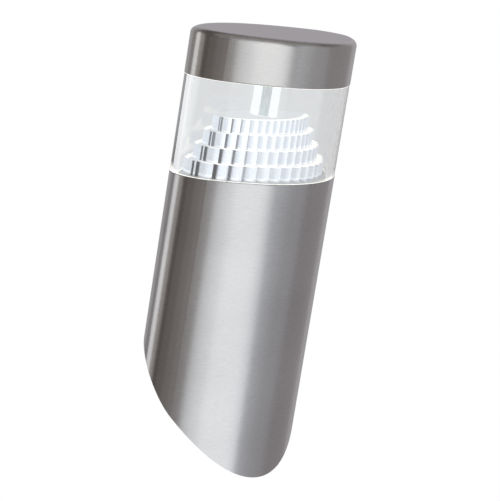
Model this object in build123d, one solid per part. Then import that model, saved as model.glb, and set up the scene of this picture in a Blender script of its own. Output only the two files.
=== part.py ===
"""Outdoor wall light: a flat oval steel tube cut off at a slant where it meets the wall, with a clear
lens band under a steel cap and a stepped, fluted clear prism that glows inside it.

Frame: millimetres, +Z up, the wall is the plane y = 0, and the light stands out towards -Y.
The origin is the point where the tube's centre line meets the wall.
Tube coordinates: x along the oval's width, y towards the long front side, z up the tube's centre line.
"""
import os
from math import atan2, cos, pi, radians, sin, sqrt, tan

from build123d import *

# Oval section of the tube, cap and lens
HALF_WIDTH = 55.0
FRONT_R = 75.0
BACK_R = 102.7
END_R = 12.7

# Tube, lens band and cap along the centre line
WALL_ANGLE = 34.0
BODY_LENGTH = 87.1
LENS_HEIGHT = 40.4
CAP_HEIGHT = 19.3
STEEL_WALL = 1.5
CAP_EDGE_R = 2.6
RIM_R = 0.4
LENS_WALL = 3.4
LENS_SETBACK = 0.15
SPIGOT_TOP = 4.0
SLIP = 0.2
GASKET_T = 1.5
LUG_T = 3.0
LUG_HALF = 6.0
LUG_INSET = 9.7

# Prism
FLUTES = 32
TIERS = 4
TIER_HEIGHT = 5.97
FLUTE_RISE = 0.22
PRISM_WALL = 2.6
PRISM_BOSS_D = 8.0

# Share of the oval's width and depth taken by the prism's tiers, its plinth and the ring of LEDs
BASE_TIER = (0.86, 0.728)
TOP_TIER = (0.612, 0.386)
PLINTH = (0.84, 0.7)
LED_RING = (0.6, 0.5)

# Light engine
BOARD_DEPTH = 4.5
BOARD_T = 1.6
CARRIER_T = 3.0
REFLECTOR_T = 1.2
BOARD_GAP = 0.4
PLINTH_GAP = 0.3
LED_COUNT = 24
LED_SIZE = (3.5, 2.8, 0.8)
POST_D = 11.5
ROD_D = 3.0
ROD_CLEARANCE = 0.2
ROD_END = 1.6
THREAD_GAP = 0.05
INSERT_T = 3.0
BOSS_D = 12.0
BOSS_ROOF = 2.0
LEAD_D = 2.0
LEAD_HOLE_D = 3.0
LEAD_XS = (14.0, 18.0)

# Fasteners: shank, head, head height and hexagon socket
M3 = (3.0, 5.6, 1.8, 2.0)
M4 = (4.0, 7.6, 2.2, 2.5)
M3_HOLE_D = 3.4
M4_HOLE_D = 4.4
M3_NUT = (5.5, 2.4)
M4_NUT = (7.0, 3.2)
M3_WASHER = (8.0, 0.8)
M4_WASHER = (9.0, 0.8)
SCREW_GAP = 0.8
SHORT_OF_FACE = 1.0
BOARD_SCREW_LENGTH = 4.0

# Wall fixing
PAD_T = 2.0
PLATE_T = 2.0
PLATE_BOTTOM_Z = -31.0
FIXING_SPACING = 60.0
SLOT_LENGTH = 14.0
SLOT_WIDTH = 5.2
PAD_HOLE_GROW = 1.4
CABLE_HOLE_Z = -14.0
CABLE_D = 8.0
GROMMET_HOLE_D = 16.0
GROMMET_FLANGE_D = 21.0
GROMMET_FLANGE_T = 2.0
GROMMET_SETBACK = 0.4
EAR_WIDTH = 16.0
EAR_GAP = 0.4
EAR_CORNER_R = 4.0
EAR_END = 8.0
LOCK_RISE = 7.5
LOCK_LENGTH = 9.0
HOOK_HALF = 9.0
HOOK_GAP = 1.0
TONGUE_T = 2.0
TONGUE_REACH = 6.0
EARTH_X = 27.0
EARTH_Z = 16.0
EARTH_REACH = 9.0

# Driver and terminals
DRIVER_DEPTH = 28.0
DRIVER_HEIGHT = 22.0
DRIVER_CLEARANCE = 1.5
DRIVER_DROP = 8.0
DRIVER_EAR = 8.0
DRIVER_EAR_T = 3.0
DRIVER_EDGE_R = 1.5
STANDOFF_D = 6.0
TERMINAL_SIZE = (30.0, 14.0, 16.0)
TERMINAL_Z = 6.0
TERMINAL_WELL = 5.0
TERMINAL_WELL_D = 4.4
TERMINAL_SCREW_D = 4.0
TERMINAL_SCREW_LENGTH = 3.5
TERMINAL_SLIT = 1.2
POLES = 3
SCREW_LEVELS = (0.3, 0.7)

# Levels up the centre line
LENS_BOTTOM = BODY_LENGTH
CAP_BOTTOM = LENS_BOTTOM + LENS_HEIGHT
TOTAL_LENGTH = CAP_BOTTOM + CAP_HEIGHT
PRISM_FOOT = LENS_BOTTOM
PRISM_TOP = PRISM_FOOT + TIERS * TIER_HEIGHT
BOARD_TOP = LENS_BOTTOM - BOARD_DEPTH
BOARD_BOTTOM = BOARD_TOP - BOARD_T
CARRIER_BOTTOM = BOARD_BOTTOM - CARRIER_T
LUG_BOTTOM = CARRIER_BOTTOM - LUG_T
SPIGOT_BOTTOM = BOARD_BOTTOM + GASKET_T
SPIGOT_END = CAP_BOTTOM + SPIGOT_TOP
INSERT_BOTTOM = SPIGOT_END + GASKET_T
INSERT_TOP = INSERT_BOTTOM + INSERT_T
CAP_CEILING = TOTAL_LENGTH - STEEL_WALL
DRIVER_TOP = CARRIER_BOTTOM - DRIVER_DROP
DRIVER_BOTTOM = DRIVER_TOP - DRIVER_HEIGHT

# Insets of the nested walls from the oval
SPIGOT_INSET = STEEL_WALL + SLIP
BOARD_INSET = LENS_WALL + BOARD_GAP
PLATE_INSET = STEEL_WALL + 1.0

# Centres of the oval's arcs
END_X = HALF_WIDTH - END_R
FRONT_CENTRE = -sqrt((FRONT_R - END_R) ** 2 - END_X ** 2)
BACK_CENTRE = sqrt((BACK_R - END_R) ** 2 - END_X ** 2)
FRONT_Y = FRONT_CENTRE + FRONT_R
BACK_Y = BACK_CENTRE - BACK_R

# Tube coordinates to the wall frame
SLOPE = radians(WALL_ANGLE)
TUBE = Plane(origin=(0, 0, 0), x_dir=(-1, 0, 0), z_dir=(0, -sin(SLOPE), cos(SLOPE)))
PAD_FACE = -PAD_T
PLATE_FACE = -PAD_T - PLATE_T

# Places that follow from the oval and the slant
LOCK_HEIGHT = -BACK_Y / tan(SLOPE) + LOCK_RISE
EAR_BACK = BACK_Y + STEEL_WALL + EAR_GAP
EAR_TOP = LOCK_HEIGHT + EAR_END
LUG_X = HALF_WIDTH - LUG_INSET
DRIVER_BACK = BACK_Y + LOCK_LENGTH + DRIVER_CLEARANCE
DRIVER_Y = DRIVER_BACK + DRIVER_DEPTH / 2
DRIVER_HOLE_X = LUG_X - LUG_HALF - STANDOFF_D / 2 - DRIVER_CLEARANCE
DRIVER_HALF = DRIVER_HOLE_X - DRIVER_EAR / 2
BOARD_SCREW_X = LED_RING[0] * HALF_WIDTH - (LED_SIZE[1] + M3[1]) / 2 - SCREW_GAP
ROD_HOLE_D = ROD_D + 2 * ROD_CLEARANCE
HOOK_TOP = PLATE_BOTTOM_Z - HOOK_GAP


def large_radius(run, end, depth):
    """Radius of the large arc that crowns at a depth and joins two end arcs, each a run from the middle."""
    return (run ** 2 + depth ** 2 - end ** 2) / (2 * (depth - end))


def oval_wire(inset=0.0, share=(1.0, 1.0)):
    """Two large arcs joined by tight end arcs, starting at the middle of the front."""
    wide, deep = share
    end = END_R * deep
    run = HALF_WIDTH * wide - end
    front = large_radius(run, end, FRONT_Y * deep)
    back = large_radius(run, end, -BACK_Y * deep)
    front_centre = FRONT_Y * deep - front
    back_centre = BACK_Y * deep + back
    front_angle = atan2(-front_centre, run)
    back_angle = atan2(back_centre, run)

    def front_point(angle):
        return (front - inset) * cos(angle), front_centre + (front - inset) * sin(angle)

    def mirrored(point):
        return -point[0], point[1]

    crown = front_point(pi / 2)
    shoulder = front_point((pi / 2 + front_angle) / 2)
    join = front_point(front_angle)
    tip = (run + end - inset, 0)
    heel = ((back - inset) * cos(back_angle), back_centre - (back - inset) * sin(back_angle))
    rear = (0, back_centre - back + inset)
    return Wire([
        ThreePointArc(crown, shoulder, join),
        ThreePointArc(join, tip, heel),
        ThreePointArc(heel, rear, mirrored(heel)),
        ThreePointArc(mirrored(heel), mirrored(tip), mirrored(join)),
        ThreePointArc(mirrored(join), mirrored(shoulder), crown),
    ])


def oval_bar(z0, z1, inset=0.0, share=(1.0, 1.0)):
    """Solid bar of the oval section between two levels."""
    return extrude(Pos(0, 0, z0) * Face(oval_wire(inset, share)), z1 - z0, dir=(0, 0, 1))


def oval_ring(z0, z1, outer, inner):
    return oval_bar(z0, z1, outer) - oval_bar(z0, z1, inner)


def rod(z0, z1, diameter, x=0.0, y=0.0):
    return Pos(x, y, z0) * Cylinder(diameter / 2, z1 - z0, align=(Align.CENTER, Align.CENTER, Align.MIN))


def block(x0, x1, y0, y1, z0, z1):
    return Pos((x0 + x1) / 2, (y0 + y1) / 2, (z0 + z1) / 2) * Box(x1 - x0, y1 - y0, z1 - z0)


def screw(size, length):
    """Domed-head screw along z with its head above z = 0 and a hexagon socket in the head."""
    diameter, head_d, head_h, socket = size
    head = rod(0, head_h, head_d)
    head = fillet(head.edges().sort_by(Axis.Z)[-1], head_h * 0.45)
    drive = extrude(Pos(0, 0, head_h) * RegularPolygon(socket / 2, 6), -head_h * 0.6)
    return head + rod(-length, 0, diameter) - drive


def threaded(diameter):
    """Diameter of a tapped hole for a shank."""
    return diameter + 2 * THREAD_GAP


def nut(size, shank):
    across, height = size
    body = extrude(RegularPolygon(across / 2, 6, major_radius=False), height)
    return body - rod(0, height, threaded(shank))


def washer(size, bore):
    outer, thickness = size
    return rod(0, thickness, outer) - rod(0, thickness, bore)


def group(solids):
    return Compound(children=list(solids))


def on_tube(shape):
    """Place a shape drawn in tube coordinates in the wall frame."""
    return TUBE * shape


def room_side(shape):
    """Keep what lies on the room side of the wall plane."""
    reach = 4 * TOTAL_LENGTH
    return shape - block(-reach, reach, 0, reach, -reach, reach)


def tube_inside(inset):
    """The tube's inner space at an inset, cut off at the wall, in the wall frame."""
    return room_side(on_tube(oval_bar(-TOTAL_LENGTH, LENS_BOTTOM, inset)))


# Steel shells
def body_tube():
    shell = oval_bar(-TOTAL_LENGTH, LENS_BOTTOM) - oval_bar(-TOTAL_LENGTH, LENS_BOTTOM, STEEL_WALL)
    shell = fillet(shell.edges().group_by(Axis.Z)[-1].filter_by(lambda e: on_outline(e)), RIM_R)
    core = oval_bar(LUG_BOTTOM, CARRIER_BOTTOM, STEEL_WALL / 2)
    for side in (-1, 1):
        lug = block(LUG_X - LUG_HALF, HALF_WIDTH, -LUG_HALF, LUG_HALF, LUG_BOTTOM, CARRIER_BOTTOM)
        lug = Rot(0, 0, 90 - side * 90) * lug
        hole = rod(LUG_BOTTOM, CARRIER_BOTTOM, M4_HOLE_D, side * LUG_X, 0)
        shell += (lug & core) - hole
    lock_hole = Pos(0, BACK_Y, LOCK_HEIGHT) * Rot(90, 0, 0) * Cylinder(M4_HOLE_D / 2, 4 * STEEL_WALL)
    tube = room_side(on_tube(shell - lock_hole))
    hook = block(-HOOK_HALF, HOOK_HALF, PLATE_FACE, PAD_FACE, -HALF_WIDTH, HOOK_TOP)
    return tube + (hook & tube_inside(STEEL_WALL / 2))


def on_outline(edge):
    """True for an edge that lies on the outer oval and not on the inner one."""
    return min(abs(edge.radius - radius) for radius in (END_R, FRONT_R, BACK_R)) < 0.01


def top_cap():
    shell = oval_bar(CAP_BOTTOM, TOTAL_LENGTH)
    shell = fillet(shell.edges().group_by(Axis.Z)[-1], CAP_EDGE_R)
    shell = fillet(shell.edges().group_by(Axis.Z)[0], RIM_R)
    return on_tube(shell - oval_bar(CAP_BOTTOM, CAP_CEILING, STEEL_WALL))


def cap_boss():
    boss = rod(INSERT_TOP, CAP_CEILING, BOSS_D)
    return on_tube(boss - rod(INSERT_TOP, CAP_CEILING - BOSS_ROOF, threaded(ROD_D)))


def cap_insert():
    plate = oval_bar(INSERT_BOTTOM, INSERT_TOP, SPIGOT_INSET)
    return on_tube(plate - rod(INSERT_BOTTOM, INSERT_TOP, ROD_HOLE_D))


# Clear parts
def clear_lens():
    band = oval_bar(LENS_BOTTOM, CAP_BOTTOM, LENS_SETBACK)
    spigots = oval_bar(SPIGOT_BOTTOM, SPIGOT_END, SPIGOT_INSET)
    return on_tube(band + spigots - oval_bar(SPIGOT_BOTTOM, SPIGOT_END, LENS_WALL))


def fluted_face(share):
    """Oval ringed with convex flutes of equal width."""
    path = oval_wire(share=share)
    valleys = [path.position_at(i / FLUTES) for i in range(FLUTES)]
    arcs = []
    for here, there in zip(valleys, valleys[1:] + valleys[:1]):
        chord = there - here
        middle = (here + there) / 2
        outward = Vector(chord.Y, -chord.X)
        if outward.dot(middle) < 0:
            outward = -outward
        arcs.append(ThreePointArc(here, middle + outward * FLUTE_RISE, there))
    return Face(Wire(arcs))


def tier_share(tier):
    """Share of the oval taken by a tier, counted up from the base."""
    return tuple(base + (top - base) * tier / (TIERS - 1) for base, top in zip(BASE_TIER, TOP_TIER))


def prism_pyramid():
    """Stepped cup, fluted outside and smooth inside, with a boss for the tie rod in the middle."""
    solid = oval_bar(BOARD_TOP, PRISM_FOOT, share=PLINTH)
    hollow = []
    for tier in range(TIERS):
        share = tier_share(tier)
        foot = PRISM_FOOT + tier * TIER_HEIGHT
        solid += extrude(Pos(0, 0, foot) * fluted_face(share), TIER_HEIGHT, dir=(0, 0, 1))
        hollow.append(oval_bar(BOARD_TOP, foot + TIER_HEIGHT - PRISM_WALL, PRISM_WALL, share))
    for space in hollow:
        solid -= space
    solid += rod(BOARD_TOP, PRISM_TOP, PRISM_BOSS_D)
    return on_tube(solid - rod(BOARD_TOP, PRISM_TOP, ROD_HOLE_D))


def centre_post():
    return on_tube(rod(PRISM_TOP, INSERT_BOTTOM, POST_D) - rod(PRISM_TOP, INSERT_BOTTOM, ROD_HOLE_D))


# Clamp through the middle
NUT_TOP = CARRIER_BOTTOM - M3_WASHER[1]


def tie_rod():
    return on_tube(rod(NUT_TOP - M3_NUT[1] - ROD_END, CAP_CEILING - BOSS_ROOF - SHORT_OF_FACE, ROD_D))


def tie_washer():
    return on_tube(Pos(0, 0, NUT_TOP) * washer(M3_WASHER, ROD_HOLE_D))


def tie_nut():
    return on_tube(Pos(0, 0, NUT_TOP - M3_NUT[1]) * nut(M3_NUT, ROD_D))


# Seals of the lens
def lens_gasket_bottom():
    return on_tube(oval_ring(BOARD_BOTTOM, SPIGOT_BOTTOM, SPIGOT_INSET + SLIP, LENS_WALL))


def lens_gasket_top():
    return on_tube(oval_ring(SPIGOT_END, INSERT_BOTTOM, SPIGOT_INSET + SLIP, LENS_WALL))


# Light engine
def base_reflector():
    tray = oval_bar(BOARD_TOP, PRISM_FOOT, BOARD_INSET)
    tray -= oval_bar(BOARD_TOP, PRISM_FOOT - REFLECTOR_T, BOARD_INSET + REFLECTOR_T)
    return on_tube(tray - oval_bar(BOARD_TOP, PRISM_FOOT, -PLINTH_GAP, PLINTH))


def led_board():
    board = oval_bar(BOARD_BOTTOM, BOARD_TOP, BOARD_INSET)
    board -= rod(BOARD_BOTTOM, BOARD_TOP, ROD_HOLE_D)
    for side in (-1, 1):
        board -= rod(BOARD_BOTTOM, BOARD_TOP, M3_HOLE_D, side * BOARD_SCREW_X)
    return on_tube(board)


def led_chips():
    ring = oval_wire(share=LED_RING)
    chips = []
    for i in range(LED_COUNT):
        place = ring.position_at((i + 0.5) / LED_COUNT)
        along = ring.tangent_at((i + 0.5) / LED_COUNT)
        turn = along.get_signed_angle(Vector(1, 0), Vector(0, 0, -1))
        chip = Box(*LED_SIZE, align=(Align.CENTER, Align.CENTER, Align.MIN))
        chips.append(on_tube(Pos(place.X, place.Y, BOARD_TOP) * Rot(0, 0, turn) * chip))
    return group(chips)


def board_screws():
    one = screw(M3, BOARD_SCREW_LENGTH)
    return group(on_tube(Pos(side * BOARD_SCREW_X, 0, BOARD_TOP) * one) for side in (-1, 1))


def carrier_plate():
    plate = oval_bar(CARRIER_BOTTOM, BOARD_BOTTOM, SPIGOT_INSET)
    plate -= rod(CARRIER_BOTTOM, BOARD_BOTTOM, ROD_HOLE_D)
    for x in LEAD_XS:
        plate -= rod(CARRIER_BOTTOM, BOARD_BOTTOM, LEAD_HOLE_D, x, DRIVER_Y)
    for side in (-1, 1):
        plate -= rod(CARRIER_BOTTOM, BOARD_BOTTOM, threaded(M3[0]), side * BOARD_SCREW_X)
        plate -= rod(CARRIER_BOTTOM, BOARD_BOTTOM - SLIP, threaded(M4[0]), side * LUG_X)
        plate -= rod(CARRIER_BOTTOM, BOARD_BOTTOM - SLIP, threaded(M3[0]), side * DRIVER_HOLE_X, DRIVER_Y)
    return on_tube(plate)


def carrier_screws():
    turned = Rot(180, 0, 0) * screw(M4, LUG_T + CARRIER_T - SHORT_OF_FACE)
    return group(on_tube(Pos(side * LUG_X, 0, LUG_BOTTOM) * turned) for side in (-1, 1))


# Driver under the carrier
def driver_housing():
    half = DRIVER_HALF
    case = block(-half, half, DRIVER_BACK, DRIVER_BACK + DRIVER_DEPTH, DRIVER_BOTTOM, DRIVER_TOP)
    case = fillet(case.edges(), DRIVER_EDGE_R)
    strip = block(-half - DRIVER_EAR, half + DRIVER_EAR, DRIVER_Y - STANDOFF_D, DRIVER_Y + STANDOFF_D,
                  DRIVER_TOP - DRIVER_EAR_T, DRIVER_TOP)
    case += fillet(strip.edges().filter_by(Axis.Z), STANDOFF_D / 2)
    for side in (-1, 1):
        case -= rod(DRIVER_TOP - DRIVER_EAR_T, DRIVER_TOP, M3_HOLE_D, side * DRIVER_HOLE_X, DRIVER_Y)
    return on_tube(case)


def driver_standoffs():
    pillar = rod(DRIVER_TOP, CARRIER_BOTTOM, STANDOFF_D) - rod(DRIVER_TOP, CARRIER_BOTTOM, M3_HOLE_D)
    return group(on_tube(Pos(side * DRIVER_HOLE_X, DRIVER_Y, 0) * pillar) for side in (-1, 1))


def driver_screws():
    turned = Rot(180, 0, 0) * screw(M3, DRIVER_EAR_T + DRIVER_DROP + CARRIER_T - SHORT_OF_FACE)
    return group(on_tube(Pos(side * DRIVER_HOLE_X, DRIVER_Y, DRIVER_TOP - DRIVER_EAR_T) * turned)
                 for side in (-1, 1))


def led_leads():
    return group(on_tube(rod(DRIVER_TOP, BOARD_BOTTOM, LEAD_D, x, DRIVER_Y)) for x in LEAD_XS)


# Wall fixing, drawn in the wall frame
def across_wall(y0, y1, diameter, x, z):
    """Round bar along the wall's normal."""
    return Pos(x, (y0 + y1) / 2, z) * Rot(90, 0, 0) * Cylinder(diameter / 2, y1 - y0)


def fixing_slots(y0, y1, grow=0.0):
    slot = extrude(SlotOverall(SLOT_LENGTH + grow, SLOT_WIDTH + grow), y1 - y0)
    slot = Pos(0, y1, 0) * Rot(90, 0, 0) * slot
    return [Pos(side * FIXING_SPACING / 2, 0, 0) * slot for side in (-1, 1)]


def wall_pad():
    reach = 2 * HALF_WIDTH
    pad = tube_inside(STEEL_WALL + SLIP) & block(-reach, reach, PAD_FACE, 0, -reach, reach)
    for slot in fixing_slots(PAD_FACE, 0, PAD_HOLE_GROW):
        pad -= slot
    return pad - across_wall(PAD_FACE, 0, GROMMET_FLANGE_D + PAD_HOLE_GROW, 0, CABLE_HOLE_Z)


def wall_bracket():
    reach = 2 * HALF_WIDTH
    plate = tube_inside(PLATE_INSET) & block(-reach, reach, PLATE_FACE, PAD_FACE, PLATE_BOTTOM_Z, reach)
    for slot in fixing_slots(PLATE_FACE, PAD_FACE):
        plate -= slot
    plate -= across_wall(PLATE_FACE, PAD_FACE, GROMMET_HOLE_D, 0, CABLE_HOLE_Z)
    plate -= across_wall(PLATE_FACE, PAD_FACE, threaded(M4[0]), EARTH_X, EARTH_Z)
    ear = block(-EAR_WIDTH / 2, EAR_WIDTH / 2, EAR_BACK, EAR_BACK + PLATE_T, 0, EAR_TOP)
    ear = fillet(ear.edges().filter_by(Axis.Y).group_by(Axis.Z)[-1], EAR_CORNER_R)
    ear -= Pos(0, EAR_BACK, LOCK_HEIGHT) * Rot(90, 0, 0) * Cylinder(threaded(M4[0]) / 2, 4 * PLATE_T)
    ear = on_tube(ear) & block(-reach, reach, -reach, PAD_FACE, -reach, reach)
    tongue = block(-HOOK_HALF, HOOK_HALF, PLATE_FACE - TONGUE_T - SLIP, PLATE_FACE - SLIP,
                   PLATE_BOTTOM_Z - TONGUE_REACH, PLATE_BOTTOM_Z)
    root = block(-HOOK_HALF, HOOK_HALF, PLATE_FACE - TONGUE_T - SLIP, PLATE_FACE,
                 PLATE_BOTTOM_Z, PLATE_BOTTOM_Z + TONGUE_REACH)
    return plate + ear + tongue + root


def lock_screw():
    return on_tube(Pos(0, BACK_Y, LOCK_HEIGHT) * Rot(90, 0, 0) * screw(M4, LOCK_LENGTH))


def lock_nut():
    return on_tube(Pos(0, EAR_BACK + PLATE_T, LOCK_HEIGHT) * Rot(-90, 0, 0) * nut(M4_NUT, M4[0]))


def cable_grommet():
    front = across_wall(PLATE_FACE - GROMMET_FLANGE_T, PLATE_FACE, GROMMET_FLANGE_D, 0, CABLE_HOLE_Z)
    neck = across_wall(PLATE_FACE, PAD_FACE, GROMMET_HOLE_D - 2 * THREAD_GAP, 0, CABLE_HOLE_Z)
    rear = across_wall(PAD_FACE, -GROMMET_SETBACK, GROMMET_FLANGE_D, 0, CABLE_HOLE_Z)
    body = front + neck + rear
    return body - across_wall(PLATE_FACE - GROMMET_FLANGE_T, 0, CABLE_D, 0, CABLE_HOLE_Z)


# Terminals and earth on the bracket
def pole_x(pole):
    return (pole - (POLES - 1) / 2) * TERMINAL_SIZE[0] / POLES


def terminal_block():
    half = TERMINAL_SIZE[0] / 2
    out = PLATE_FACE - TERMINAL_SIZE[1]
    body = block(-half, half, out, PLATE_FACE, TERMINAL_Z, TERMINAL_Z + TERMINAL_SIZE[2])
    for pole in range(POLES):
        for level in SCREW_LEVELS:
            z = TERMINAL_Z + TERMINAL_SIZE[2] * level
            body -= across_wall(out, out + TERMINAL_WELL, TERMINAL_WELL_D, pole_x(pole), z)
        middle_y = PLATE_FACE - TERMINAL_SIZE[1] / 2
        body -= rod(TERMINAL_Z, TERMINAL_Z + TERMINAL_WELL, TERMINAL_SCREW_D, pole_x(pole), middle_y)
    for pole in range(1, POLES):
        middle = (pole_x(pole) + pole_x(pole - 1)) / 2
        body -= block(middle - TERMINAL_SLIT / 2, middle + TERMINAL_SLIT / 2, out, out + TERMINAL_WELL / 2,
                      TERMINAL_Z, TERMINAL_Z + TERMINAL_SIZE[2])
    return body


def terminal_screws():
    floor = PLATE_FACE - TERMINAL_SIZE[1] + TERMINAL_WELL
    top = floor - TERMINAL_SCREW_LENGTH
    slit = Box(2 * TERMINAL_SCREW_D, TERMINAL_SLIT, TERMINAL_SLIT / 2)
    solids = []
    for pole in range(POLES):
        for level in SCREW_LEVELS:
            z = TERMINAL_Z + TERMINAL_SIZE[2] * level
            body = across_wall(top, floor, TERMINAL_SCREW_D, pole_x(pole), z)
            solids.append(body - Pos(pole_x(pole), top, z) * slit)
    return group(solids)


def supply_leads():
    solids = []
    top = TERMINAL_Z + TERMINAL_SIZE[2]
    for pole in (0, POLES - 1):
        start = Vector(pole_x(pole), PLATE_FACE - TERMINAL_SIZE[1] / 2, top)
        foot = TUBE.from_local_coords(Vector(-pole_x(pole), DRIVER_Y, DRIVER_BOTTOM))
        path = Spline(start, foot, tangents=((0, 0, 1), TUBE.z_dir), tangent_scalars=(1.2, 1.2))
        solids.append(sweep(Plane(start, z_dir=(0, 0, 1)) * Circle(LEAD_D / 2), path=path))
    return group(solids)


def earth_stud():
    return across_wall(PLATE_FACE - EARTH_REACH, PAD_FACE - SLIP, M4[0], EARTH_X, EARTH_Z)


def earth_washer():
    return Pos(EARTH_X, PLATE_FACE, EARTH_Z) * Rot(90, 0, 0) * washer(M4_WASHER, threaded(M4[0]))


def earth_nut():
    return Pos(EARTH_X, PLATE_FACE - M4_WASHER[1], EARTH_Z) * Rot(90, 0, 0) * nut(M4_NUT, M4[0])


NODES = [
    body_tube, top_cap, cap_boss, cap_insert, clear_lens, prism_pyramid, centre_post, tie_rod,
    tie_washer, tie_nut, lens_gasket_bottom, lens_gasket_top, base_reflector, led_board, led_chips,
    board_screws, carrier_plate, carrier_screws, driver_housing, driver_standoffs, driver_screws,
    led_leads, wall_pad, wall_bracket, lock_screw, lock_nut, cable_grommet, terminal_block,
    terminal_screws, supply_leads, earth_stud, earth_washer, earth_nut,
]

os.makedirs("parts", exist_ok=True)
for make in NODES:
    export_step(make(), f"parts/{make.__name__}.step")
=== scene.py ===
"""Looks of the outdoor wall light: brushed steel tube and cap, clear lens and fluted prism, with painted
light and shade.
"""
from math import cos, pi, radians, sin, tan

import bpy
from mathutils import Matrix, Vector


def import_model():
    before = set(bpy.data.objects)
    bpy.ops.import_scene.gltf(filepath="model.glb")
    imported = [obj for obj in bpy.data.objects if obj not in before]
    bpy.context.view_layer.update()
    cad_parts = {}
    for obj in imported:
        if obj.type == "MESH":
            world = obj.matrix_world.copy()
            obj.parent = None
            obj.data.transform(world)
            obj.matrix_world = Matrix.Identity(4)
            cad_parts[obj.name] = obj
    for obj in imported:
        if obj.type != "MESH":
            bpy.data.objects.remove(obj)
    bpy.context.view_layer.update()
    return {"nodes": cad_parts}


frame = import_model()
nodes = frame["nodes"]


def extent(name, direction):
    """Least and greatest reach of a CAD node in a direction."""
    node = nodes[name]
    reaches = [direction.dot(node.matrix_world @ vertex.co) for vertex in node.data.vertices]
    return min(reaches), max(reaches)


# Frame of the tube: its centre line leans out of the wall by the slant
SLANT = radians(34.0)
AXIS = Vector((0.0, -sin(SLANT), cos(SLANT)))
FRONT = Vector((0.0, -cos(SLANT), -sin(SLANT)))
SIDE = Vector((-1.0, 0.0, 0.0))

# Camera, fitted to the photo's outline and placed round a point inside the light
CAMERA_TARGET = Vector((-0.00542, -0.03614, 0.03986))
CAMERA_DISTANCE = 0.7906
CAMERA_AZIMUTH = radians(-58.43)
CAMERA_ELEVATION = radians(-6.65)
CAMERA_ROLL = radians(-19.88)
CAMERA_LENS = 132.66
CAMERA_FAR = 20.0
SENSOR = 36.0

# Levels up the tube
LENS_BOTTOM = extent("body_tube", AXIS)[1]
LENS_TOP = extent("top_cap", AXIS)[0]
PRISM_TOP = extent("prism_pyramid", AXIS)[1]

# Tiers of the prism: number, height, half width of the top one and growth from tier to tier
TIERS = 4
TIER_HEIGHT = (PRISM_TOP - LENS_BOTTOM) / TIERS
TIER_HALF = 0.0337
TIER_GROWTH = 0.00455

# Large arcs of the tiers: radius, depth of the top tier and growth of the depth for each metre down
FRONT_ARC = (0.0735, 0.01129, 0.559)
BACK_ARC = (0.1075, 0.00898, 0.444)

# Steel: scales of its brushed lines and clouds, share of the lines in its shade, roughness, colour of flat
# faces, paler by painted light, share of the centre line in the normal from which a face counts as flat, and
# direction of lines there
STEEL_LINES = (320.0, 320.0, 2200.0)
STEEL_CLOUDS = (14.0, 14.0, 40.0)
STEEL_LINE_SHARE = 0.6
STEEL_ROUGHNESS = (0.25, 0.32)
STEEL_PAINTED_TOP_LIGHT = (0.79, 0.775, 0.82)
PAINTED_TOP_FROM = 0.8
FLAT_TANGENT = SIDE * 0.02

# Ledges of the prism, painted to glow: share of the centre line in their normal, thickness of the top face,
# width of the brighter painted rim, and glow of the rim and of the rest
LEDGE_UPRIGHT = 0.9
TOP_FACE = 0.001
RIM_WIDTH = 0.0018
RIM_GLOW = 1.4
LEDGE_GLOW = 0.96

# Flutes: how far they mirror, scale of their unevenness, roughness, painted glow at the far end, middle and
# near end of a tier, where along the tier it changes, and how much more the top tier has
FLUTE_MIRROR = 0.95
FLUTE_WAVES = (90.0, 90.0, 40.0)
FLUTE_ROUGHNESS = (0.1, 0.18)
FLUTE_GLOW = (0.36, 0.52, 0.56)
FAR_CHANGE = (-0.7, 0.1)
NEAR_CHANGE = (0.4, 0.9)
TOP_TIER_GLOW = 1.3

# Painted shade down one side of each flute: least share of glow, and angles from the tier's arc over which
# the glow comes back
FLUTE_SHADE_LEAST = 0.46
FLUTE_SHADE_ANGLES = tuple(radians(angle) for angle in (-32.0, 4.0))

# Painted dark reflections in stripes on the flutes: directions faced where they begin and end, places along a
# tier between which they darken, least darkness, darkness in the top and bottom tiers, place where a tier's
# end begins, and how far the directions are turned behind that end and in front of it
DARK_REFLECTION_ANGLES = tuple(radians(angle) for angle in (-21.0, -14.0, 24.0, 38.0))
DARK_REFLECTION_FROM = (0.42, 0.92)
DARK_REFLECTION_LEAST = 0.05
DARK_REFLECTION_DEPTH = (0.76, 0.94)
END_FLUTE = 0.945
END_FLUTE_TURN = tuple(radians(angle) for angle in (-27.0, 29.0))

# Lens: scale of its unevenness, roughness, height of its painted bright edges at foot and head, their glow,
# painted glow of its back, and share of that glow at the foot
LENS_WAVES = (60.0, 60.0, 20.0)
LENS_ROUGHNESS = (0.01, 0.03)
FOOT_EDGE = 0.0003
HEAD_EDGE = 0.0001
EDGE_GLOW = 0.7
LENS_BACK_GLOW = 0.045
LENS_FOOT_SHARE = 0.45

# Post: radius within which a face belongs to its bore, and painted glow
BORE_LIMIT = 0.0025
POST_GLOW = 0.16

# Plain finishes: spread of the roughness, how much broader than the grain the colour varies, and bump
ROUGH_SPREAD = 0.08
BROADER = 12.0
BUMP_DEPTH = 0.0002

# Studio: distance of the lamps, length and tint of the low ones, floor, its glow to the eye, and the world's
# colours to the eye and in reflections
LAMP_DISTANCE = 0.95
LOW_LENGTH = 0.5
LOW_TINT = (1.0, 0.93, 0.9)
FLOOR_Z = -1.6
FLOOR_SIZE = 3.0
FLOOR_GLOW = 0.6
WHITE = (1.0, 1.0, 1.0, 1.0)
DIM_WORLD = (0.125, 0.110, 0.103, 1.0)


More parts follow.
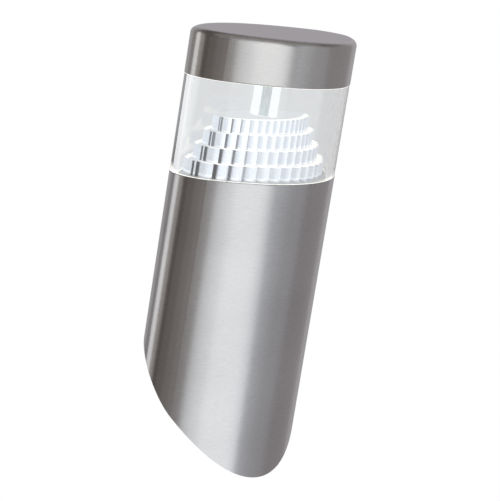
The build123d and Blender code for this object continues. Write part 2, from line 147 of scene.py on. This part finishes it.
class Nodes:
    """Short hand for building one material's node tree."""

    def __init__(self, name):
        self.material = bpy.data.materials.new(name)
        self.material.use_nodes = True
        self.tree = self.material.node_tree
        self.tree.nodes.clear()
        self.output = self.tree.nodes.new("ShaderNodeOutputMaterial")

    def add(self, kind, **settings):
        node = self.tree.nodes.new("ShaderNode" + kind)
        for key, value in settings.items():
            setattr(node, key, value)
        return node

    def link(self, source, target):
        self.tree.links.new(source, target)

    def principled(self, **sockets):
        shader = self.add("BsdfPrincipled")
        for name, value in sockets.items():
            shader.inputs[name.replace("_", " ")].default_value = value
        self.link(shader.outputs[0], self.output.inputs["Surface"])
        return shader

    def mixed(self, factor, first, second):
        """Surface that changes from one shader to another."""
        mix = self.add("MixShader")
        self.link(factor, mix.inputs["Fac"])
        self.link(first.outputs[0], mix.inputs[1])
        self.link(second.outputs[0], mix.inputs[2])
        self.link(mix.outputs[0], self.output.inputs["Surface"])

    def tube_coords(self, scale=(1.0, 1.0, 1.0)):
        """Object coordinates turned so that z runs up the tube, and then stretched."""
        coords = self.add("TexCoord")
        turn = self.add("Mapping")
        turn.inputs["Rotation"].default_value = (-SLANT, 0.0, 0.0)
        self.link(coords.outputs["Object"], turn.inputs["Vector"])
        stretch = self.add("Mapping")
        stretch.inputs["Scale"].default_value = scale
        self.link(turn.outputs[0], stretch.inputs["Vector"])
        return stretch.outputs[0]

    def noise(self, vector, scale=1.0, detail=2.0, roughness=0.5):
        texture = self.add("TexNoise")
        texture.inputs["Scale"].default_value = scale
        texture.inputs["Detail"].default_value = detail
        texture.inputs["Roughness"].default_value = roughness
        self.link(vector, texture.inputs["Vector"])
        return texture.outputs["Fac"]

    def ramp(self, factor, low, high, start=0.3, end=0.7):
        node = self.add("ValToRGB")
        node.color_ramp.elements[0].position = start
        node.color_ramp.elements[0].color = (*low, 1.0)
        node.color_ramp.elements[1].position = end
        node.color_ramp.elements[1].color = (*high, 1.0)
        self.link(factor, node.inputs["Fac"])
        return node.outputs["Color"]

    def span(self, factor, low, high):
        """Even change from one value to another as a factor goes from 0 to 1."""
        node = self.add("MapRange")
        node.inputs["To Min"].default_value = low
        node.inputs["To Max"].default_value = high
        self.link(factor, node.inputs["Value"])
        return node.outputs["Result"]

    def fade(self, value, start, end, low, high):
        """Soft change from one value to another."""
        node = self.add("MapRange", interpolation_type="SMOOTHSTEP")
        for socket, number in zip(("From Min", "From Max", "To Min", "To Max"), (start, end, low, high)):
            node.inputs[socket].default_value = number
        self.link(value, node.inputs["Value"])
        return node.outputs["Result"]

    def math(self, operation, *values):
        node = self.add("Math", operation=operation)
        for value, socket in zip(values, node.inputs):
            if isinstance(value, float):
                socket.default_value = value
            else:
                self.link(value, socket)
        return node.outputs[0]

    def product(self, first, *others):
        for other in others:
            first = self.math("MULTIPLY", first, other)
        return first

    def squares(self, first, second):
        """Sum of two squares."""
        return self.math("ADD", self.product(first, first), self.product(second, second))

    def dot(self, vector, direction):
        node = self.add("VectorMath", operation="DOT_PRODUCT")
        self.link(vector, node.inputs[0])
        node.inputs[1].default_value = direction
        return node.outputs["Value"]

    def bump(self, height, strength, distance):
        node = self.add("Bump")
        node.inputs["Strength"].default_value = strength
        node.inputs["Distance"].default_value = distance
        self.link(height, node.inputs["Height"])
        return node.outputs["Normal"]

    def arc_place(self, place, arc, facing):
        """Place seen from the centre of a tier's large arc, which lies further out in each lower tier."""
        radius, depth, growth = arc
        drop = self.math("SUBTRACT", PRISM_TOP, self.dot(place, AXIS))
        crown = self.math("ADD", self.product(drop, growth), depth - radius)
        return self.dot(place, SIDE), self.math("SUBTRACT", self.dot(place, FRONT * facing), crown)

    def from_arc(self, place, arc, facing):
        """Distance outside a tier's large front or back arc."""
        distance = self.math("SQRT", self.squares(*self.arc_place(place, arc, facing)))
        return self.math("SUBTRACT", distance, arc[0])


def brushed_steel(name, low, high):
    """Steel brushed round the tube in fine lines, with painted light making flat faces that look up the tube
    paler.
    """
    n = Nodes(name)
    shader = n.principled(Metallic=1.0, Anisotropic=0.92, Anisotropic_Rotation=0.25)
    lines = n.noise(n.tube_coords(STEEL_LINES), detail=3.0, roughness=0.7)
    clouds = n.noise(n.tube_coords(STEEL_CLOUDS))
    cloud_share = n.product(clouds, 1.0 - STEEL_LINE_SHARE)
    shade = n.math("ADD", n.product(lines, STEEL_LINE_SHARE), cloud_share)
    normal = n.add("NewGeometry").outputs["Normal"]
    # Painted light: faces that look up the tube get the paler colour
    colour = n.add("Mix", data_type="RGBA")
    n.link(n.fade(n.dot(normal, AXIS), PAINTED_TOP_FROM, 1.0, 0.0, 1.0), colour.inputs["Factor"])
    n.link(n.ramp(shade, low, high), colour.inputs["A"])
    colour.inputs["B"].default_value = (*STEEL_PAINTED_TOP_LIGHT, 1.0)
    n.link(colour.outputs["Result"], shader.inputs["Base Color"])
    n.link(n.span(lines, *STEEL_ROUGHNESS), shader.inputs["Roughness"])
    n.link(n.bump(lines, strength=0.015, distance=BUMP_DEPTH), shader.inputs["Normal"])
    around = n.add("VectorMath", operation="CROSS_PRODUCT")
    n.link(normal, around.inputs[0])
    around.inputs[1].default_value = AXIS
    tangent = n.add("VectorMath", operation="ADD")
    n.link(around.outputs[0], tangent.inputs[0])
    tangent.inputs[1].default_value = FLAT_TANGENT
    n.link(tangent.outputs[0], shader.inputs["Tangent"])
    return n.material


def speckled(name, low, high, rough, metallic=0.0, grain=900.0, bump=0.1):
    """Moulded plastic, rubber or plain metal with a fine uneven surface."""
    n = Nodes(name)
    shader = n.principled(Metallic=metallic)
    fine = n.noise(n.tube_coords(), grain, 4.0)
    broad = n.noise(n.tube_coords(), grain / BROADER)
    n.link(n.ramp(broad, low, high), shader.inputs["Base Color"])
    n.link(n.span(fine, rough - ROUGH_SPREAD, rough + ROUGH_SPREAD), shader.inputs["Roughness"])
    n.link(n.bump(fine, strength=bump, distance=BUMP_DEPTH), shader.inputs["Normal"])
    return n.material


def glowing_prism(name, ior):
    """Clear prism whose flutes mirror, with painted glow, painted shade down one side of each flute, painted
    dark reflections near one end, and ledges and rims painted to glow.
    """
    n = Nodes(name)
    shader = n.principled(Transmission_Weight=1.0, IOR=ior, Emission_Color=(0.90, 0.95, 1.0, 1.0))
    waves = n.noise(n.tube_coords(FLUTE_WAVES))
    n.link(n.span(waves, *FLUTE_ROUGHNESS), shader.inputs["Roughness"])
    geometry = n.add("NewGeometry")
    place = geometry.outputs["Position"]
    normal = geometry.outputs["Normal"]
    outside = n.math("SUBTRACT", 1.0, geometry.outputs["Backfacing"])
    ledge = n.product(n.math("GREATER_THAN", n.dot(normal, AXIS), LEDGE_UPRIGHT), outside)
    n.link(n.span(ledge, FLUTE_MIRROR, 0.0), shader.inputs["Metallic"])

    # Tier, counted from the top, and place along it from -1 to 1
    drop = n.math("SUBTRACT", PRISM_TOP, n.dot(place, AXIS))
    tier = n.math("FLOOR", n.math("DIVIDE", drop, TIER_HEIGHT))
    half = n.math("ADD", n.product(tier, TIER_GROWTH), TIER_HALF)
    along = n.math("DIVIDE", n.dot(place, SIDE), half)

    # Painted dark reflections in stripes on the flutes that face one way
    facing = n.math("ARCTAN2", n.dot(normal, FRONT), n.dot(normal, SIDE))
    front = n.math("GREATER_THAN", n.dot(place, FRONT), 0.0)
    turn = n.product(n.math("GREATER_THAN", along, END_FLUTE), n.span(front, *END_FLUTE_TURN))
    angle = n.math("ADD", facing, turn)
    left, dark_left, dark_right, right = DARK_REFLECTION_ANGLES
    left_of = n.fade(angle, left, dark_left, 1.0, 0.0)
    right_of = n.fade(angle, dark_right, right, 0.0, 1.0)
    dark_reflection = n.math("SUBTRACT", 1.0, n.math("ADD", left_of, right_of))
    depth = n.fade(tier, 0.0, TIERS - 1.0, *DARK_REFLECTION_DEPTH)
    near = n.fade(along, *DARK_REFLECTION_FROM, DARK_REFLECTION_LEAST, 1.0)
    # Base colour of the mirroring flutes stands in for what they reflect: pale, darkened in the painted dark
    # reflections
    pale = n.math("SUBTRACT", 1.0, n.product(dark_reflection, near, depth))
    n.link(n.ramp(pale, (0.07, 0.065, 0.065), (0.74, 0.77, 0.82), 0.0, 1.0), shader.inputs["Base Color"])

    # Painted glow of the flutes, with painted shade down one side of each
    across, ahead = n.arc_place(place, FRONT_ARC, 1.0)
    bulge = n.math("SUBTRACT", facing, n.math("ARCTAN2", ahead, across))
    flute_shade = n.fade(bulge, *FLUTE_SHADE_ANGLES, FLUTE_SHADE_LEAST, 1.0)
    far_glow, middle_glow, near_glow = FLUTE_GLOW
    far_level = n.fade(along, *FAR_CHANGE, far_glow, middle_glow)
    level = n.math("ADD", far_level, n.fade(along, *NEAR_CHANGE, 0.0, near_glow - middle_glow))
    tier_level = n.fade(tier, 0.0, TIERS - 1.0, TOP_TIER_GLOW, 1.0)
    upright = n.math("SUBTRACT", 1.0, ledge)
    n.link(n.product(level, tier_level, flute_shade, pale, upright), shader.inputs["Emission Strength"])

    # Ledges painted to glow, with a brighter painted rim along the front, and along the back too below the
    # top face
    top = n.math("GREATER_THAN", n.dot(place, AXIS), PRISM_TOP - TOP_FACE)
    behind = n.math("SUBTRACT", n.from_arc(place, BACK_ARC, -1.0), top)
    edge = n.math("MAXIMUM", n.from_arc(place, FRONT_ARC, 1.0), behind)
    rim = n.math("GREATER_THAN", edge, -RIM_WIDTH)
    glow = n.add("Emission")
    n.link(n.ramp(rim, (0.95, 0.98, 1.0), (1.0, 0.985, 0.94), 0.0, 1.0), glow.inputs["Color"])
    n.link(n.span(rim, LEDGE_GLOW, RIM_GLOW), glow.inputs["Strength"])
    n.mixed(ledge, shader, glow)
    return n.material


def lens_band(name, tint, ior):
    """Clear lens with a faint painted glow at its back and painted bright highlights along its two edges."""
    n = Nodes(name)
    shader = n.principled(Transmission_Weight=1.0, IOR=ior, Base_Color=(*tint, 1.0))
    waves = n.noise(n.tube_coords(LENS_WAVES), detail=1.0)
    n.link(n.span(waves, *LENS_ROUGHNESS), shader.inputs["Roughness"])
    n.link(n.bump(waves, strength=0.02, distance=0.0005), shader.inputs["Normal"])
    geometry = n.add("NewGeometry")
    place = geometry.outputs["Position"]
    height = n.dot(place, AXIS)

    # Painted highlights along the edges at foot and head, on the outer wall alone
    foot = n.math("LESS_THAN", height, LENS_BOTTOM + FOOT_EDGE)
    head = n.math("GREATER_THAN", height, LENS_TOP - HEAD_EDGE)
    outward = n.add("VectorMath", operation="DOT_PRODUCT")
    n.link(geometry.outputs["True Normal"], outward.inputs[0])
    n.link(place, outward.inputs[1])
    facing = n.product(outward.outputs["Value"], n.span(geometry.outputs["Backfacing"], 1.0, -1.0))
    outer = n.math("GREATER_THAN", facing, 0.0)
    edge = n.product(n.math("MAXIMUM", foot, head), outer)
    n.link(n.ramp(edge, (0.93, 0.97, 1.0), (1.0, 0.98, 0.90), 0.0, 1.0), shader.inputs["Emission Color"])

    # Painted glow of the back, which is less bright towards the foot
    back = n.math("LESS_THAN", n.dot(place, FRONT), 0.0)
    share = n.fade(height, LENS_BOTTOM, PRISM_TOP, LENS_FOOT_SHARE, 1.0)
    glow = n.math("ADD", n.product(edge, EDGE_GLOW), n.product(back, share, LENS_BACK_GLOW))
    n.link(glow, shader.inputs["Emission Strength"])
    return n.material


def clear_post(name, tint, ior):
    """Clear round post with a painted glow for the light from below, and a matt grey bore."""
    n = Nodes(name)
    shader = n.principled(Transmission_Weight=1.0, IOR=ior, Base_Color=(*tint, 1.0), Roughness=0.03)
    shader.inputs["Emission Color"].default_value = (0.97, 0.99, 1.0, 1.0)
    shader.inputs["Emission Strength"].default_value = POST_GLOW
    bore = n.add("BsdfPrincipled")
    bore.inputs["Roughness"].default_value = 0.6
    mottle = n.noise(n.tube_coords((1.0, 1.0, 0.3)), 900.0, 3.0)
    n.link(n.ramp(mottle, (0.68, 0.74, 0.74), (0.88, 0.94, 0.94)), bore.inputs["Base Color"])
    place = n.add("NewGeometry").outputs["Position"]
    from_axis = n.squares(n.dot(place, SIDE), n.dot(place, FRONT))
    n.mixed(n.math("LESS_THAN", from_axis, BORE_LIMIT * BORE_LIMIT), shader, bore)
    return n.material


def led(name, low, high, glow):
    """Lit LED package."""
    n = Nodes(name)
    shader = n.principled(Roughness=0.4, Emission_Color=(1.0, 0.96, 0.86, 1.0), Emission_Strength=glow)
    n.link(n.ramp(n.noise(n.tube_coords(), 700.0), low, high), shader.inputs["Base Color"])
    return n.material


def ground(name):
    """Pale floor, lighter to the eye and through clear parts than the lamps make it."""
    n = Nodes(name)
    shader = n.principled(Roughness=0.7, Emission_Color=WHITE)
    mottle = n.noise(n.tube_coords(), 60.0)
    n.link(n.ramp(mottle, (0.84, 0.84, 0.84), (0.87, 0.87, 0.87)), shader.inputs["Base Color"])
    path = n.add("LightPath")
    seen = n.math("MAXIMUM", path.outputs["Is Camera Ray"], path.outputs["Is Transmission Ray"])
    n.link(n.product(seen, FLOOR_GLOW), shader.inputs["Emission Strength"])
    return n.material


def dress(material, *names):
    """Give CAD nodes a finish."""
    for name in names:
        mesh = nodes[name].data
        mesh.materials.clear()
        mesh.materials.append(material)


def finishes():
    """Every CAD node's material."""
    # Painted light: one steel in two tints, cooler on the tube and warmer on the cap, for the light each
    # reflects
    dress(brushed_steel("brushed_steel", (0.56, 0.56, 0.565), (0.685, 0.685, 0.69)), "body_tube")
    dress(brushed_steel("cap_steel_painted_warm_light", (0.565, 0.56, 0.55), (0.69, 0.685, 0.67)), "top_cap")
    dress(lens_band("clear_polycarbonate", (0.812, 0.82, 0.826), 1.5), "clear_lens")
    dress(clear_post("clear_post", (0.97, 0.985, 0.99), 1.2), "centre_post")
    dress(glowing_prism("acrylic_painted_glow", 1.49), "prism_pyramid")
    dress(speckled("white_plastic", (0.80, 0.80, 0.78), (0.86, 0.86, 0.84), 0.45),
          "cap_insert", "driver_housing")
    dress(speckled("gloss_white", (0.78, 0.78, 0.76), (0.84, 0.84, 0.82), 0.14), "base_reflector")
    dress(speckled("board_white", (0.76, 0.78, 0.76), (0.84, 0.85, 0.83), 0.35, grain=1500.0), "led_board")
    dress(led("led_package", (0.95, 0.85, 0.55), (1.0, 0.97, 0.85), 3.0), "led_chips")
    dress(speckled("seal_rubber", (0.022, 0.022, 0.023), (0.04, 0.04, 0.042), 0.6),
          "lens_gasket_bottom", "lens_gasket_top", "cable_grommet")
    dress(speckled("pad_foam", (0.03, 0.03, 0.032), (0.065, 0.065, 0.068), 0.85, grain=1800.0, bump=0.6),
          "wall_pad")
    dress(speckled("zinc_steel", (0.60, 0.61, 0.63), (0.72, 0.73, 0.74), 0.32, metallic=1.0),
          "cap_boss", "tie_rod", "tie_washer", "tie_nut", "board_screws", "carrier_screws", "driver_screws",
          "lock_nut", "earth_nut", "earth_washer")
    dress(speckled("stainless_screw", (0.55, 0.55, 0.54), (0.68, 0.68, 0.67), 0.25, metallic=1.0),
          "lock_screw")
    dress(speckled("galvanised_steel", (0.45, 0.47, 0.49), (0.62, 0.64, 0.66), 0.42, 1.0, 260.0),
          "wall_bracket")
    dress(speckled("mill_aluminium", (0.70, 0.71, 0.72), (0.80, 0.81, 0.82), 0.35, metallic=1.0),
          "carrier_plate", "driver_standoffs")
    dress(speckled("nylon", (0.62, 0.63, 0.60), (0.72, 0.73, 0.70), 0.5), "terminal_block")
    dress(speckled("turned_brass", (0.62, 0.47, 0.20), (0.75, 0.60, 0.30), 0.3, metallic=1.0),
          "terminal_screws", "earth_stud")
    dress(speckled("red_insulation", (0.50, 0.03, 0.02), (0.60, 0.05, 0.04), 0.45), "led_leads")
    dress(speckled("brown_insulation", (0.10, 0.04, 0.02), (0.16, 0.07, 0.04), 0.45), "supply_leads")


def softbox(name, start, end, radiance, rise=-0.2, length=1.6, colour=(1.0, 1.0, 1.0), roll=0.0):
    """Area lamp between two angles round the tube, long in the direction of the centre line."""
    lamp = bpy.data.lights.new(name, "AREA")
    lamp.shape = "RECTANGLE"
    lamp.size = 2 * LAMP_DISTANCE * tan(radians(end - start) / 2)
    lamp.size_y = length
    lamp.energy = radiance * pi * lamp.size * lamp.size_y
    lamp.color = colour
    holder = bpy.data.objects.new(name, lamp)
    holder.visible_camera = False
    holder.visible_transmission = False
    bpy.context.collection.objects.link(holder)
    angle = radians(start + end) / 2
    out = (SIDE * cos(angle) + FRONT * sin(angle) + AXIS * rise).normalized()
    up = (AXIS - out * AXIS.dot(out)).normalized()
    turn = Matrix((up.cross(out), up, out)).transposed().to_4x4()
    place = Matrix.Translation(CAMERA_TARGET + out * LAMP_DISTANCE)
    holder.matrix_world = place @ turn @ Matrix.Rotation(radians(roll), 4, "Z")


def studio():
    """Large lamp in front, weaker ones beside it that fade in steps, a strip and a wide backdrop behind."""
    softbox("front_wide", 68.5, 112, 0.67, colour=(0.93, 0.97, 1.0), roll=14.0)
    softbox("front_mid", 73.5, 110.5, 0.24, colour=(0.95, 0.98, 1.0), roll=12.0)
    softbox("front_core", 81.5, 107, 0.24, colour=(1.0, 0.99, 0.97), roll=12.0)
    softbox("fill_wide", 113, 184, 0.195, colour=(0.94, 0.91, 0.98))
    softbox("fill_near", 112, 145, 0.115, colour=(0.80, 0.92, 1.0))
    softbox("fill_mid", 112, 128, 0.09, colour=(0.84, 0.94, 1.0))
    softbox("fill_edge", 112, 120, 0.10, colour=(0.86, 0.94, 1.0))
    softbox("low_wide", -10, 71, 0.095, length=LOW_LENGTH, colour=LOW_TINT)
    softbox("low_mid", 18, 71, 0.06, length=LOW_LENGTH, colour=LOW_TINT)
    softbox("low_near", 42, 71, 0.055, length=LOW_LENGTH, colour=LOW_TINT)
    softbox("strip", -69, -48, 0.86)
    softbox("strip_edge", -49, -28, 0.23, colour=(1.0, 0.95, 0.9))
    softbox("strip_back", -98, -69, 0.19, colour=(0.97, 0.96, 1.0))
    softbox("overhead", 30, 130, 0.16, rise=1.5, length=1.2)
    softbox("backdrop", 183, 264, 0.33, rise=0.0, length=2.4, colour=(0.95, 0.95, 1.0))


def world():
    """White to the eye and through clear parts, dim warm grey in reflections."""
    scene_world = bpy.data.worlds.new("studio")
    scene_world.use_nodes = True
    tree = scene_world.node_tree
    tree.nodes.clear()
    path = tree.nodes.new("ShaderNodeLightPath")
    seen = tree.nodes.new("ShaderNodeMath")
    seen.operation = "MAXIMUM"
    tree.links.new(path.outputs["Is Camera Ray"], seen.inputs[0])
    tree.links.new(path.outputs["Is Transmission Ray"], seen.inputs[1])
    mix = tree.nodes.new("ShaderNodeMixShader")
    tree.links.new(seen.outputs[0], mix.inputs["Fac"])
    for socket, colour in ((1, DIM_WORLD), (2, WHITE)):
        background = tree.nodes.new("ShaderNodeBackground")
        background.inputs["Color"].default_value = colour
        tree.links.new(background.outputs[0], mix.inputs[socket])
    output = tree.nodes.new("ShaderNodeOutputWorld")
    tree.links.new(mix.outputs[0], output.inputs["Surface"])
    bpy.context.scene.world = scene_world


def floor():
    """Pale floor far below the light."""
    half = FLOOR_SIZE / 2
    corners = [(x * half, y * half, FLOOR_Z) for x, y in ((-1, -1), (1, -1), (1, 1), (-1, 1))]
    mesh = bpy.data.meshes.new("floor")
    mesh.from_pydata(corners, [], [(0, 1, 2, 3)])
    mesh.materials.append(ground("pale_floor"))
    plane = bpy.data.objects.new("floor", mesh)
    bpy.context.collection.objects.link(plane)


def camera():
    """The photo's view."""
    data = bpy.data.cameras.new("camera")
    data.lens = CAMERA_LENS
    data.sensor_width = SENSOR
    data.sensor_fit = "HORIZONTAL"
    data.clip_end = CAMERA_FAR
    holder = bpy.data.objects.new("camera", data)
    bpy.context.collection.objects.link(holder)
    level = cos(CAMERA_ELEVATION)
    out = Vector((sin(CAMERA_AZIMUTH) * level, -cos(CAMERA_AZIMUTH) * level, sin(CAMERA_ELEVATION)))
    side = Vector((0, 0, 1)).cross(out).normalized()
    up = out.cross(side)
    right = side * cos(CAMERA_ROLL) + up * sin(CAMERA_ROLL)
    turn = Matrix((right, out.cross(right), out)).transposed().to_4x4()
    holder.matrix_world = Matrix.Translation(CAMERA_TARGET + out * CAMERA_DISTANCE) @ turn
    bpy.context.scene.camera = holder


finishes()
studio()
world()
floor()
camera()
bpy.context.scene.view_settings.view_transform = "Standard"
